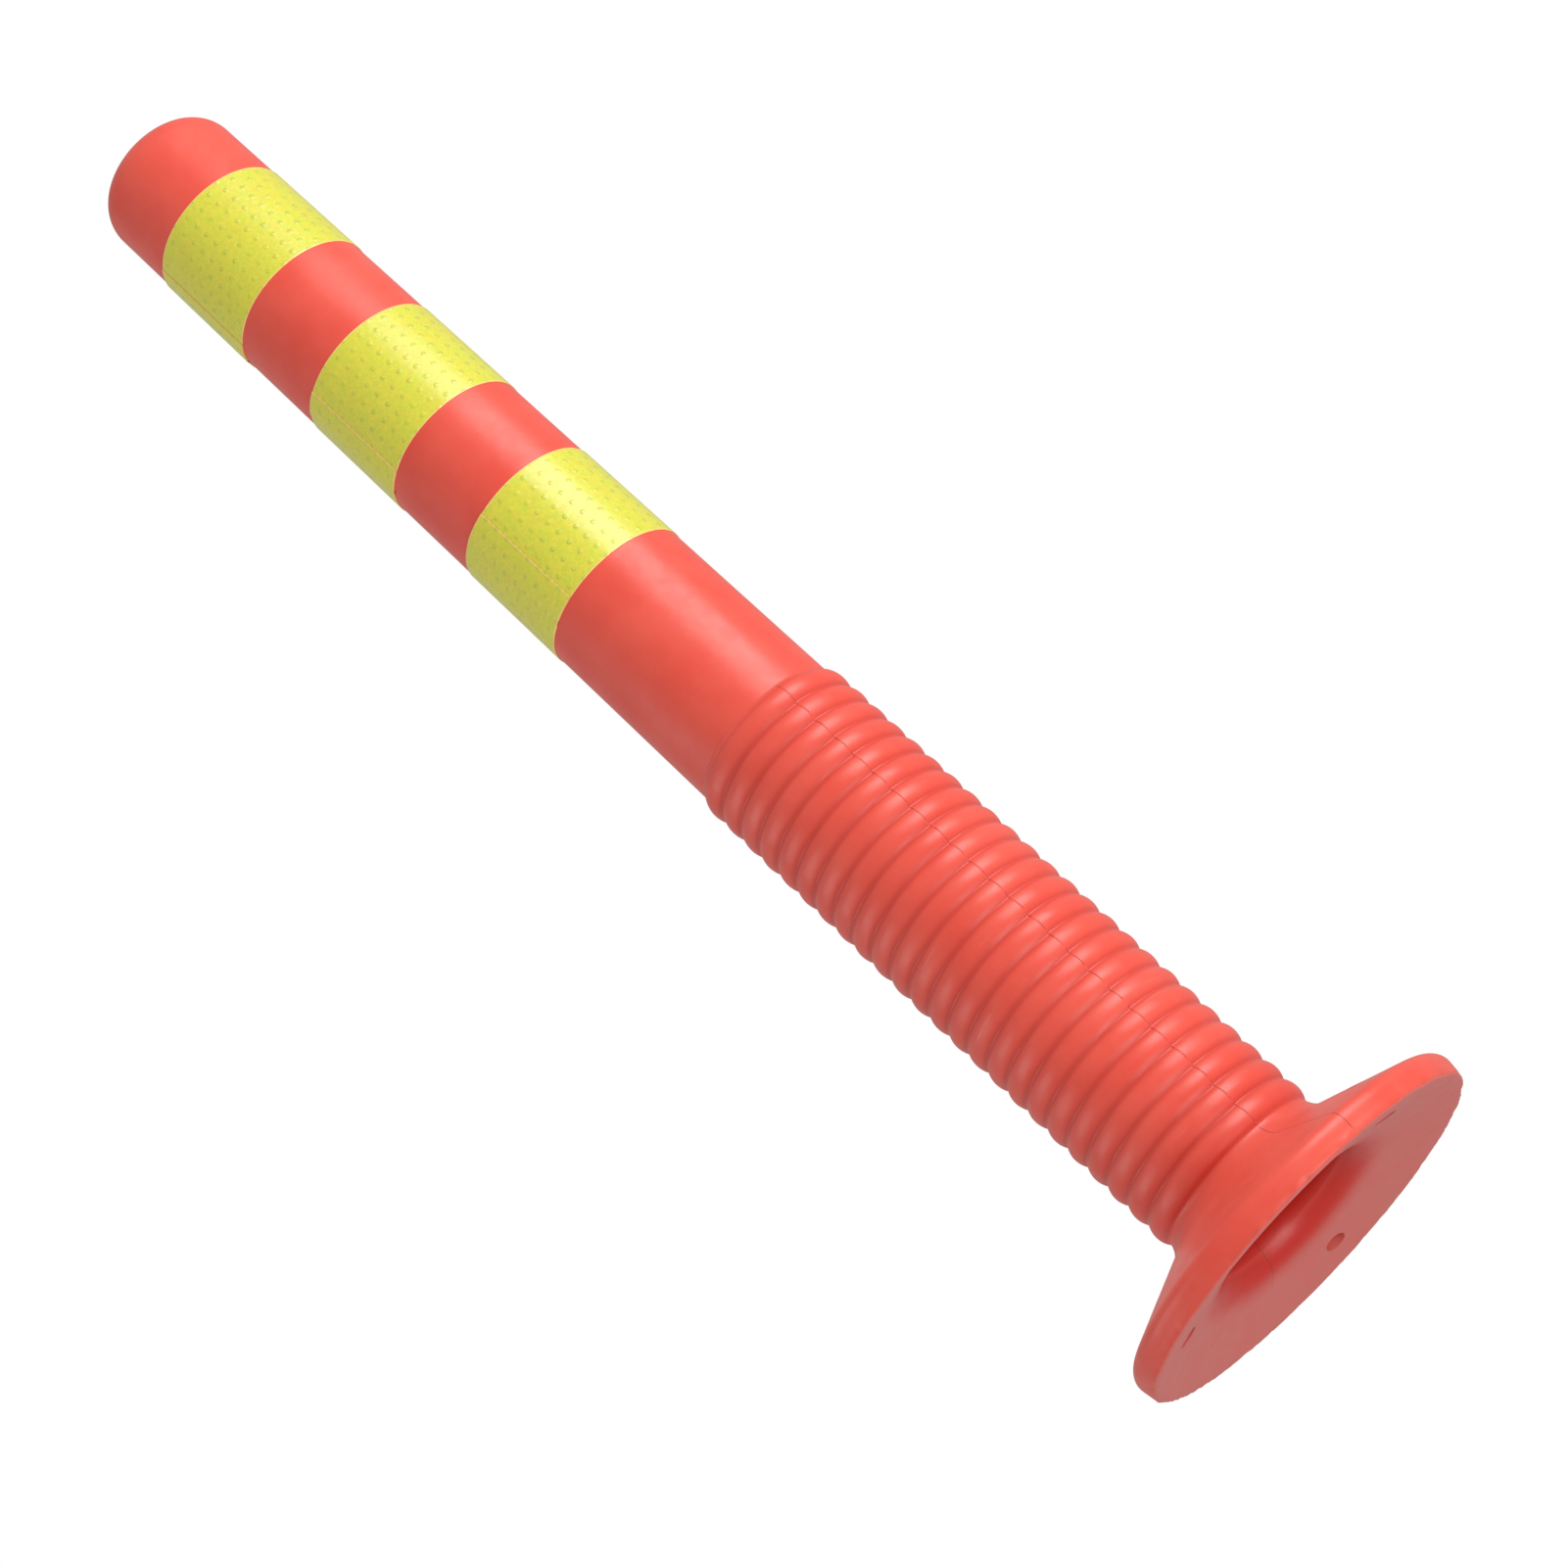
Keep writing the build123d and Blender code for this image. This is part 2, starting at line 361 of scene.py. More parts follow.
@dataclass(frozen=True)
class MouldedFinish:
    """Satin fluorescent orange-red moulding, with flow clouds, lighter streaks that are partly scuffs
    and partly painted highlight, specks, painted shade in the grooves, the bore and the foot's mouth,
    and a lighter underside that is partly a dusty film and partly painted sheen.
    """

    name: str = "moulded_coral"
    colour: Colour = (0.86, 0.082, 0.050, 1)
    cloud: Colour = (0.90, 0.108, 0.070, 1)
    # Lighter pink of the streaks round the ribs: partly scuffing, partly painted highlight.
    scuff_and_highlight: Colour = (0.93, 0.22, 0.17, 1)
    line: Colour = (0.33, 0.03, 0.022, 1)
    speck: Colour = (0.22, 0.03, 0.02, 1)
    # Lighter, greyer pink under the foot: partly a dusty film, partly painted sheen.
    underside: Colour = (0.80, 0.190, 0.165, 1)
    # inner: darker red used as painted shade inside the bore and in the foot's mouth
    inner: Colour = (0.72, 0.028, 0.016, 1)
    roughness: float = 0.36
    parting_half: float = 0.26 * MM
    inner_radius: float = 35.6 * MM
    # groove: darker red used as painted shade in the grooves between the ribs
    groove: Colour = (0.60, 0.040, 0.026, 1)
    crest_at_floor: float = 41.82 * MM
    ribs_top: float = 0.322
    neck_low: float = 0.034
    scuff_and_highlight_strength: float = 0.5
    groove_shade_strength: float = 0.6
    speck_strength: float = 0.75
    line_strength: float = 0.65

    def build(self) -> bpy.types.Material:
        """Makes the material.

        Returns:
            The material, which reads the rest_place attribute.
        """
        g = Graph(self.name)
        place = g.attribute("rest_place")
        x, y, z = g.split(place)
        colour = g.blend(g.band(g.noise(place, 28, 4, 0.6), 0.3, 0.7), self.colour, self.cloud)
        rings = g.noise(g.stretch(place, (22, 22, 420)), 1.0, 5, 0.62)
        above_foot = g.band(z, 0.01, self.neck_low)
        on_ribs = g.product(g.band(z, self.ribs_top, self.ribs_top - 0.006), above_foot)
        # Lighter, glossier streaks round the ribs: partly scuffs, partly painted highlight.
        scuff_and_highlight_share = g.product(g.band(rings, 0.63, 0.74), on_ribs, self.scuff_and_highlight_strength)
        colour = g.blend(scuff_and_highlight_share, colour, self.scuff_and_highlight)
        from_axis = g.math("SQRT", g.math("ADD", g.product(x, x), g.product(y, y)))
        # Painted shade: the grooves between the ribs are darkened, more where the surface lies deeper
        # below the crest line.
        crest = g.math("SUBTRACT", self.crest_at_floor, g.product(z, DRAFT))
        sunk_shade = g.band(g.math("SUBTRACT", crest, from_axis), 0.2 * MM, 2.0 * MM)
        between_ribs = g.product(g.band(z, 0.038, 0.042), g.band(z, 0.3165, 0.3145))
        colour = g.blend(g.product(sunk_shade, between_ribs, self.groove_shade_strength), colour, self.groove)
        # Painted shade: the hollow's wall and the mouth under the foot are darkened with the inner
        # colour.
        near_bore_shade = g.band(from_axis, self.inner_radius + 0.8 * MM, self.inner_radius)
        hollow = g.product(near_bore_shade, g.band(z, 0.5, 0.4))
        mouth = g.product(g.band(from_axis, 0.062, 0.040), g.band(z, 0.020, 0.014))
        colour = g.blend(g.math("MAXIMUM", hollow, mouth), colour, self.inner)
        colour = g.blend(self.specks(g, place), colour, self.speck)
        line = self.parting(g, x, y, z)
        colour = g.blend(line, colour, self.line)
        # Painted sheen with a dusty film: the underside and the bottom land turn a lighter, greyer pink
        # in noisy patches.
        dust_and_sheen = g.split(g.attribute("dust_and_sheen"))[0]
        film = g.product(dust_and_sheen, g.band(g.noise(place, 45, 5, 0.6), 0.2, 0.75, 0.72, 1.0))
        g.feed("Base Color", g.blend(film, colour, self.underside))
        uneven = g.noise(place, 110, 4, 0.6)
        rough = g.band(uneven, 0.25, 0.75, self.roughness - 0.05, self.roughness + 0.07)
        rough = g.math("SUBTRACT", rough, g.product(scuff_and_highlight_share, 0.12))
        g.feed("Roughness", g.math("ADD", rough, g.product(film, 0.16)))
        skin = g.bump(g.noise(place, 900, 3, 0.55), 0.10, 0.10 * MM)
        sinks = g.bump(g.noise(place, 70, 3, 0.5), 0.35, 0.5 * MM, skin)
        streaks = g.bump(rings, 0.25, 0.12 * MM, sinks)
        g.feed("Normal", g.bump(g.product(line, -1.0), 0.6, 0.15 * MM, streaks))
        g.feed("Specular IOR Level", 0.5)
        g.feed("Sheen Weight", 0.06)
        g.feed("Sheen Roughness", 0.45)
        g.feed("Sheen Tint", (1.0, 0.78, 0.74, 1))
        return g.material

    def specks(self, g: Graph, place: Socket) -> Socket:
        """Sparse dark specks: small Voronoi cores, kept in few of the cells."""
        cells = g.cells(place, 70)
        core = g.band(cells.outputs["Distance"], 0.055, 0.03)
        chosen = g.band(g.split(cells.outputs["Color"])[0], 0.90, 0.93)
        return g.product(core, chosen, self.speck_strength)

    def parting(self, g: Graph, x: object, y: object, z: object) -> Socket:
        """Hairline where the mould halves met: close to one plane through the axis, below the tube."""
        sideways = g.product(x, math.sin(PARTING_TURN))
        across = g.math("ADD", sideways, g.product(y, -math.cos(PARTING_TURN)))
        near = g.band(g.math("ABSOLUTE", across), self.parting_half * 1.5, self.parting_half * 0.5)
        low = g.band(z, self.ribs_top, self.ribs_top - 0.01)
        high = g.band(z, 0.0015, 0.004)
        upward = g.node("ShaderNodeCombineXYZ", {2: z}).outputs[0]
        broken = g.band(g.noise(upward, 230, 3, 0.6), 0.44, 0.56)
        broken = g.math("MAXIMUM", broken, g.band(z, self.neck_low + 0.006, self.neck_low))
        return g.product(g.product(near, low), g.product(high, broken, self.line_strength))


@dataclass(frozen=True)
class TapeFinish:
    """Fluorescent yellow prismatic tape: fine cells, bonded dots in rows, a pale cut edge, and a faint
    painted light of its own.
    """

    name: str
    width: float
    row_pitch: float = 7.0 * MM
    dot_pitch: float = 7.0 * MM
    dot_radius: float = 1.15 * MM
    film: Colour = (0.76, 0.69, 0.052, 1)
    warm: Colour = (0.76, 0.62, 0.05, 1)
    lime: Colour = (0.66, 0.71, 0.045, 1)
    bonded: Colour = (0.33, 0.42, 0.06, 1)
    cut_edge: Colour = (0.95, 0.60, 0.22, 1)
    # Yellow emission that makes the tape shine as painted light, though it is no lamp.
    painted_glow: Colour = (0.80, 0.66, 0.05, 1)
    painted_glow_strength: float = 0.10

    def build(self) -> bpy.types.Material:
        """Makes the material.

        Returns:
            The material, which reads the tape_place attribute: length along the tape, height
            up its width and 0, in metres.
        """
        g = Graph(self.name)
        place = g.attribute("tape_place")
        along, up, _ = g.split(place)
        flat = g.node("ShaderNodeCombineXYZ", {0: along, 1: up}).outputs[0]
        colour = g.blend(g.band(g.noise(flat, 190, 3, 0.6), 0.38, 0.66), self.film, self.lime)
        colour = g.blend(g.band(g.noise(flat, 95, 4, 0.65), 0.5, 0.72, 0.0, 0.85), colour, self.warm)
        prisms = g.cells(flat, 900)
        tint = g.band(g.split(prisms.outputs["Color"])[1], 0.0, 1.0, 0.0, 0.22)
        colour = g.blend(tint, colour, self.bonded)
        dots, dome = self.dots(g, flat, along, up)
        worn = g.band(g.noise(flat, 32, 3, 0.6), 0.36, 0.6, 0.12, 0.75)
        colour = g.blend(g.product(dots, worn), colour, self.bonded)
        half = self.width / 2
        from_middle = g.math("ABSOLUTE", g.math("SUBTRACT", up, half))
        border = g.band(from_middle, half - 0.9 * MM, half - 0.5 * MM)
        free_end = g.band(along, 0.7 * MM, 0.3 * MM)
        cut = g.product(g.math("MAXIMUM", border, free_end), 0.85)
        g.feed("Base Color", g.blend(cut, colour, self.cut_edge))
        g.feed("Roughness", g.band(g.noise(flat, 260, 3, 0.6), 0.3, 0.7, 0.26, 0.4))
        facets = g.bump(prisms.outputs["Distance"], 0.22, 0.12 * MM)
        pressed = g.bump(dome, 0.85, 0.28 * MM, facets)
        g.feed("Normal", g.bump(g.noise(flat, 120, 2, 0.5), 0.3, 0.25 * MM, pressed))
        # Painted light: a faint yellow emission makes the tape lighter, though it is no lamp.
        g.feed("Emission Color", self.painted_glow)
        g.feed("Emission Strength", self.painted_glow_strength)
        g.feed("Coat Weight", 0.35)
        g.feed("Coat Roughness", 0.2)
        g.feed("Specular IOR Level", 0.55)
        return g.material

    def dots(self, g: Graph, flat: Socket, along: Socket, up: Socket) -> tuple[Socket, Socket]:
        """Staggered lattice of small rings where the film is bonded.

        The nearest of two lattices, one shifted by half a cell both ways, gives the distance to
        a dot; a ring is where that distance is close to the dot's radius.

        Returns:
            The ring's strength and a domed height, both 0 to 1.
        """
        nearest = None
        for shift in (0.0, 0.5):
            across = self.offset(g, along, 2 * self.row_pitch, shift)
            lengthwise = self.offset(g, up, self.dot_pitch, shift)
            square = g.math("ADD", g.product(across, across), g.product(lengthwise, lengthwise))
            distance = g.math("SQRT", square)
            nearest = distance if nearest is None else g.math("MINIMUM", nearest, distance)
        gap = g.math("ABSOLUTE", g.math("SUBTRACT", nearest, self.dot_radius * 0.72))
        broken = g.band(g.noise(flat, 1500, 2, 0.5), 0.36, 0.56)
        ring = g.product(g.band(gap, self.dot_radius * 0.5, self.dot_radius * 0.1), broken)
        return ring, g.band(nearest, self.dot_radius * 1.5, self.dot_radius * 0.2)

    def offset(self, g: Graph, value: object, pitch: float, shift: float) -> Socket:
        """Signed distance to the nearest line of a set at a pitch, in metres."""
        share = g.math("FRACT", g.math("ADD", g.math("DIVIDE", value, pitch), 0.5 + shift))
        return g.product(g.math("SUBTRACT", share, 0.5), pitch)


# ---------------------------------------------------------------- the moulded body


@dataclass
class Wall:
    """The moulded wall's outer and inner surface, worked out from the CAD nodes."""

    rib_count: int
    wall: float = 4.0 * MM
    rib_depth: float = 2.0 * MM
    neck_stand: float = 0.4 * MM
    foot_radius: float = 90.3 * MM
    rim_height: float = 11.6 * MM
    neck_drop: float = 4.5 * MM
    neck_fillet: float = 12.0 * MM
    groove_softness: float = 0.36 * MM
    half_shift: float = 0.22 * MM
    flash_height: float = 0.16 * MM
    flash_width: float = 0.28 * MM
    ripple: float = 0.10 * MM

    def __post_init__(self) -> None:
        """Reads the tube, the ribs and the foot from the frame."""
        low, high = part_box("tube")
        self.tube_low = low[2]
        self.tube_low_radius = high[0]
        self.top = high[2]
        boxes = [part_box(f"rib_{number:02d}") for number in range(1, self.rib_count + 1)]
        self.rib_z = np.array([(box[0][2] + box[1][2]) / 2 for box in boxes])
        self.crest = np.array([box[1][0] for box in boxes])
        self.pitch = float(self.rib_z[1] - self.rib_z[0])
        self.arc_radius = ((self.pitch / 2) ** 2 + self.rib_depth**2) / (2 * self.rib_depth)
        self.foot_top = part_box("foot")[1][2]
        neck = float(self.tube_radius(self.foot_top)) + self.neck_stand
        slope_top = self.foot_top - self.neck_drop
        self.slope = math.atan((slope_top - self.rim_height) / (self.foot_radius - neck))
        self.neck_level = slope_top + self.neck_fillet * math.tan((math.pi / 2 - self.slope) / 2)

    def neck_line(self, z: Array) -> Array:
        """Radius of the neck: the drafted line and a fillet R - sqrt(R^2 - below^2) under neck_level."""
        below = np.clip(self.neck_level - z, 0, self.neck_fillet)
        fillet = self.neck_fillet - np.sqrt(self.neck_fillet**2 - below**2)
        return self.tube_radius(z) + self.neck_stand * smooth_step(z, 0.06, 0.045) + fillet

    def tube_radius(self, z: Array | float) -> Array | float:
        """Outer radius of the tube's straight, drafted line."""
        return self.tube_low_radius + DRAFT * (self.tube_low - z)

    def bore_radius(self, z: Array | float) -> Array | float:
        """Radius of the hollow core."""
        return self.tube_radius(z) - self.wall

    def angles(self, count: int = 240, first: float = 0.0) -> Array:
        """Even angles round the post with more of them close to both parting lines."""
        even = first + np.arange(count) * 2 * math.pi / count
        close = np.linspace(-1, 1, 15)
        close = np.sign(close) * np.abs(close) ** 1.4 * math.radians(1.9)
        extra = [PARTING_TURN + close, PARTING_TURN + math.pi + close]
        both = np.concatenate([even] + extra)
        wrapped = np.mod(both - first, 2 * math.pi)
        kept = np.unique(np.round(wrapped, 7))
        spaced = kept[np.concatenate([[True], np.diff(kept) > 1e-4])]
        return spaced + first

    def mould_half(self, angle: Array) -> Array:
        """-1 on one mould half and 1 on the other, changing steeply at the parting lines."""
        return np.tanh(np.sin(angle - PARTING_TURN) / 0.006)

    def outer(self, z: Array, angle: Array) -> Array:
        """Points of the corrugated wall's outer surface.

        Radius is the soft maximum of the round arcs of all ribs and of the tube's straight
        line: k log(sum exp(r/k)). The mould halves are shifted along the axis and meet in a
        thin raised flash, and each rib is rippled a little round the post.

        Args:
            z: heights, any shape.
            angle: angles of the same shape.

        Returns:
            Points, with one more axis of length 3.
        """
        shifted = z - self.half_shift * self.mould_half(angle) * self.inside(z)
        gap = shifted[..., None] - self.rib_z
        reach = np.clip(self.arc_radius**2 - gap**2, 1e-12, None)
        arcs = self.crest - self.arc_radius + np.sqrt(reach)
        line = self.neck_line(shifted)
        both = np.concatenate([arcs, line[..., None]], -1)
        highest = both.max(-1, keepdims=True)
        total = np.exp((both - highest) / self.groove_softness).sum(-1)
        radius = highest[..., 0] + self.groove_softness * np.log(total)
        across = np.sin(angle - PARTING_TURN) * radius
        flash = self.flash_height * np.exp(-((across / self.flash_width) ** 2))
        nearest = np.abs(gap).argmin(-1)
        phase = nearest * 2.399
        wobble = np.sin(3 * angle + phase) * 0.5 + np.sin(7 * angle - 2 * phase) * 0.3
        wobble = wobble + np.sin(13 * angle + 5 * phase) * 0.2
        on_crest = np.exp(-((np.abs(gap).min(-1) / (self.pitch * 0.3)) ** 2))
        radius = radius + self.inside(z) * (flash + self.ripple * wobble * on_crest)
        return np.stack([radius * np.cos(angle), radius * np.sin(angle), z], -1)

    def inside(self, z: Array) -> Array:
        """1 within the corrugated section, fading to 0 over its ends."""
        fade = 4.0 * MM
        above_foot = smooth_step(z, self.foot_top, self.foot_top + fade)
        return above_foot * smooth_step(z, self.tube_low, self.tube_low - fade)

    def normals(self, z: Array, angle: Array) -> Array:
        """Outward normals of the outer surface: the cross product of its two slopes."""
        tiny = 2e-5
        round_it = self.outer(z, angle + tiny * 20) - self.outer(z, angle - tiny * 20)
        up = self.outer(z + tiny, angle) - self.outer(z - tiny, angle)
        across = np.cross(round_it, up)
        return across / np.linalg.norm(across, axis=-1, keepdims=True)


@dataclass
class CorrugatedSection:
    """The bending wall: a rigid ring for each rib and each web, divided where the CAD divides them.

    A web turns by a few degrees against both neighbours. Its hidden skirts reach into their
    walls, so that the groove stays closed where it is stretched.
    """

    wall: Wall
    material: bpy.types.Material
    rib_rows: int = 14
    web_rows: int = 9
    reach: float = 2.45 * MM
    tuck: float = 0.12 * MM
    deep_tuck: float = 0.45 * MM
    hidden: float = 0.5 * MM

    def ring(self, name: str, node: str, rows: int, skirts: bool) -> bpy.types.Object:
        """One closed ring of wall between the lower and upper end of its CAD node.

        The outline goes up the outer surface, over the upper skirt, down the bore and back
        round the lower skirt. A skirt is the ring's edge drawn in by tuck, and by deep_tuck at
        its far end.

        Args:
            name: the piece's name.
            node: the CAD node, which is also the body that it rides on.
            rows: faces up the outer surface.
            skirts: whether it has skirts.

        Returns:
            The ring.
        """
        low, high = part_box(node)[0][2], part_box(node)[1][2]
        angles = self.wall.angles()
        z, turn = np.meshgrid(np.linspace(low, high, rows + 1), angles, indexing="ij")
        outside = self.wall.outer(z, turn)
        radial = np.stack([np.cos(angles), np.sin(angles), np.zeros_like(angles)], -1)
        over, below = [], []
        if skirts:
            over = self.skirt(outside[-1], radial, high, self.reach)
            below = self.skirt(outside[0], radial, low, -self.reach)[::-1]
        bore = [self.circle(radial, float(self.wall.bore_radius(end)), end) for end in (high, low)]
        grid = np.concatenate([outside, *[row[None] for row in over + bore + below], outside[:1]])
        sides = [radial, radial, -radial, -radial] if skirts else []
        faced = sides + [-radial, -radial] + sides[::-1]
        normals = np.concatenate([self.wall.normals(z, turn), *[row[None] for row in faced]])
        normals = np.concatenate([normals, normals[:1]])
        shell = Shell(name)
        shell.patch(grid, Side.LEFT, normals=normals)
        piece = shell.build(self.material)
        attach(piece, node)
        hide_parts(node)
        return piece

    def skirt(self, edge: Array, radial: Array, end: float, reach: float) -> list[Array]:
        """Rows of a skirt: out along its outside from the ring's end, then back along its inside."""
        bore = float(self.wall.bore_radius(end)) + self.hidden
        near = edge - radial * self.tuck
        far = edge - radial * self.deep_tuck + (0, 0, reach)
        return [near, far, self.circle(radial, bore, end + reach), self.circle(radial, bore, end)]

    def circle(self, radial: Array, radius: float, z: float) -> Array:
        """Points of a level circle in the given directions."""
        return radial * radius + (0, 0, z)

    def build(self) -> int:
        """Makes every rib and web.

        Returns:
            How many rings were made.
        """
        for number in range(1, self.wall.rib_count + 1):
            self.ring(f"rib_{number:02d}_wall", f"rib_{number:02d}", self.rib_rows, False)
        for number in range(1, self.wall.rib_count + 2):
            self.ring(f"groove_{number:02d}_wall", f"groove_{number:02d}", self.web_rows, True)
        return 2 * self.wall.rib_count + 1


@dataclass(frozen=True)
class Nick:
    """A cut (below 0) or a bulge in the rim's trim, with its angle and width in degrees."""

    turn: float
    depth: float
    width: float


@dataclass
class Foot:
    """The bolt-down foot: dished underside, trimmed rim, sloping top and neck, with anchor holes."""

    wall: Wall
    material: bpy.types.Material
    rim_draft: float = 1.7 * MM
    rim_edge: float = 6.0 * MM
    land_width: float = 3.0 * MM
    land_bevel: float = 0.8 * MM
    dish: float = math.tan(math.radians(12.5))
    mouth: float = 14.0 * MM
    hole_turn: float = math.radians(-35.5)
    nicks: tuple[Nick, ...] = (
        Nick(-80.0, -1.5 * MM, 1.2),
        Nick(-70.0, -1.1 * MM, 0.9),
        Nick(-60.5, 0.9 * MM, 1.0),
        Nick(-33.0, -0.9 * MM, 1.4),
        Nick(128.0, -1.6 * MM, 1.3),
        Nick(117.0, -1.2 * MM, 1.0),
    )
    hole_in: float = 47.0 * MM
    hole_out: float = 82.0 * MM
    per_sector: int = 96
    trim_depth: float = 0.95 * MM
    sag: float = 0.35 * MM
    step: float = 1.1 * MM

    def __post_init__(self) -> None:
        """Reads the anchor holes from the record and works out both outlines."""
        mount = next(m for m in frame["record"]["mounts"] if m["name"] == "anchor_holes")
        self.hole_circle = mount["dims"]["pcd_mm"] * MM / 2
        self.hole_radius = mount["dims"]["hole_r_mm"] * MM
        self.hole_count = mount["dims"]["count"]
        widest = self.wall.foot_radius
        top = self.wall.foot_top
        rim_low = widest - self.rim_draft
        land_out = rim_low - self.land_bevel
        land_in = land_out - self.land_width
        bore = float(self.wall.bore_radius(0.0))
        slope_end = self.wall.neck_level - self.wall.neck_fillet * math.cos(self.wall.slope)
        neck_heights = np.linspace(slope_end, top, 16)
        neck = np.stack([self.wall.neck_line(neck_heights), neck_heights], -1)
        land = [(land_in, 0), (land_out, 0), (rim_low, self.land_bevel)]
        corners = land + [(widest, self.wall.rim_height), (float(neck[0, 0]), float(neck[0, 1]))]
        path = rounded_path(corners, [0.3 * MM, self.land_bevel / 4, self.rim_edge], self.step)
        self.outside = np.vstack([path[:-1], neck])
        mouth_z = (land_in - bore) * self.dish
        inside = [(float(self.wall.bore_radius(top)), top), (bore, mouth_z), (land_in, 0)]
        self.underneath = rounded_path(inside, [self.mouth], self.step)

    def cut(self, outline: Array, low: float, high: float) -> Array:
        """The stretch of an outline whose radius lies between two radii, with exact ends."""
        ordered = outline[np.argsort(outline[:, 0])]
        inside = ordered[(ordered[:, 0] > low + 1e-7) & (ordered[:, 0] < high - 1e-7)]
        ends = [(r, float(np.interp(r, ordered[:, 0], ordered[:, 1]))) for r in (low, high)]
        return np.vstack([ends[0], inside, ends[1]])

    def sector(self, outline: Array, turn: float) -> Array:
        """Grid round one anchor hole, out to the edge of its share of the foot.

        Points of the share's edge, two arcs and two straight sides, are joined to points of the
        hole's circle that lie in the same direction, and the steps grow outwards.

        Args:
            outline: (radius, height) rows with radius rising.
            turn: angle of the hole.

        Returns:
            Grid from the hole's wall out to the edge.
        """
        half = math.pi / self.hole_count
        sweep = turn + np.linspace(-half, half, self.per_sector + 1)
        radii = np.linspace(self.hole_in, self.hole_out, 25)
        arc_out = np.stack([np.full_like(sweep, self.hole_out), sweep], -1)
        arc_in = np.stack([np.full_like(sweep, self.hole_in), sweep[::-1]], -1)
        side_in = np.stack([radii[::-1], np.full_like(radii, turn + half)], -1)
        side_out = np.stack([radii, np.full_like(radii, turn - half)], -1)
        edge = np.vstack([arc_out[:-1], side_in[:-1], arc_in[:-1], side_out[:-1]])
        rim = np.stack([edge[:, 0] * np.cos(edge[:, 1]), edge[:, 0] * np.sin(edge[:, 1])], -1)
        centre = self.hole_circle * np.array([math.cos(turn), math.sin(turn)])
        ray = rim - centre
        circle = centre + ray / np.linalg.norm(ray, axis=1, keepdims=True) * self.hole_radius
        share = np.linspace(0, 1, 22)[:, None, None] ** 1.6
        flat = circle + (rim - circle) * share
        radius = np.linalg.norm(flat, axis=-1)
        height = np.interp(radius, outline[:, 0], outline[:, 1])
        height[-1] = np.interp(edge[:, 0], outline[:, 0], outline[:, 1])
        return np.concatenate([flat, height[..., None]], -1)

    def roughened(self, grid: Array) -> Array:
        """Moves points by the moulding's unevenness.

        Close to the underside's outer edge the radius is cut by a ragged knife line, and the
        top sags a little by slow waves round the foot that grow towards the rim.
        """
        angle = np.arctan2(grid[..., 1], grid[..., 0])
        radius = np.hypot(grid[..., 0], grid[..., 1])
        widest = self.wall.foot_radius
        edge = smooth_step(radius, widest - 4.2 * MM, widest - 2.6 * MM)
        edge = edge * smooth_step(grid[..., 2], 3.0 * MM, 0.4 * MM)
        ragged = wave_noise(angle, 5, 40, 150) * 0.5 + wave_noise(angle, 6, 9, 30) * 0.5
        trim = edge * self.trim_depth * (ragged - 0.4)
        for nick in self.nicks:
            away = np.degrees(np.angle(np.exp(1j * (angle - math.radians(nick.turn)))))
            trim = trim + edge * nick.depth * np.exp(-((away / nick.width) ** 2))
        slow = wave_noise(angle, 7, 2, 6)
        band = smooth_step(grid[..., 2], 1.0 * MM, 4.0 * MM) * smooth_step(radius, 50 * MM, 85 * MM)
        pull = trim - band * self.sag * (0.5 + 0.5 * slow)
        scale = 1 + pull / np.maximum(radius, 1 * MM)
        moved = grid.copy()
        moved[..., 0] *= scale
        moved[..., 1] *= scale
        return moved

    def build(self) -> bpy.types.Object:
        """Makes the foot.

        Returns:
            The foot's object.
        """
        half = math.pi / self.hole_count
        first = self.hole_turn - half
        steps = self.per_sector * self.hole_count
        angles = first + np.arange(steps) * 2 * math.pi / steps
        shell = Shell("foot_moulding")
        peak = int(np.argmax(self.outside[:, 0]))
        slope_side = self.outside[peak:][::-1]
        land_side = self.outside[: peak + 1]
        top = self.wall.foot_top
        bore_end = np.array([[float(self.wall.bore_radius(top)), top]])
        bore = self.underneath[self.underneath[:, 1] < top - 0.3 * MM]
        under = bore[bore[:, 0] < self.hole_in - 1e-7]
        dish_low = float(np.interp(self.hole_in, self.underneath[:, 0], self.underneath[:, 1]))
        under = np.vstack([bore_end, under, [(self.hole_in, dish_low)]])
        shell.patch(turned(under, angles), Side.LEFT)
        dish = self.underneath[np.argsort(self.underneath[:, 0])]
        land_in = self.cut(dish, self.hole_out, float(self.underneath[-1, 0]))
        rim = np.vstack([land_in[:-1], land_side])
        top_out = self.cut(slope_side, self.hole_out, float(slope_side[-1, 0]))[::-1]
        shell.patch(self.roughened(turned(np.vstack([rim[:-1], top_out]), angles)), Side.LEFT)
        neck = slope_side[::-1]
        neck_part = neck[(neck[:, 0] < self.hole_in - 1e-7) & (neck[:, 1] < top - 0.2 * MM)]
        neck_low = (self.hole_in, float(np.interp(self.hole_in, slope_side[:, 0], slope_side[:, 1])))
        steep = slope_side[slope_side[:, 0].argsort()]
        upward = neck[neck[:, 1].argsort()]
        neck_top = (float(np.interp(top, upward[:, 1], upward[:, 0])), top)
        collar = np.vstack([[neck_low], neck_part, [neck_top], bore_end])
        shell.patch(turned(collar, angles), Side.LEFT)
        for index in range(self.hole_count):
            turn = self.hole_turn + index * 2 * half
            below = self.sector(dish, turn)
            above = self.sector(steep, turn)
            shell.patch(below, Side.RIGHT)
            shell.patch(self.roughened(above), Side.LEFT)
            shell.patch(np.stack([below[0], above[0]]), Side.RIGHT)
        foot = shell.build(self.material)
        self.mark_underside(foot)
        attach(foot, "foot")
        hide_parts("foot")
        return foot

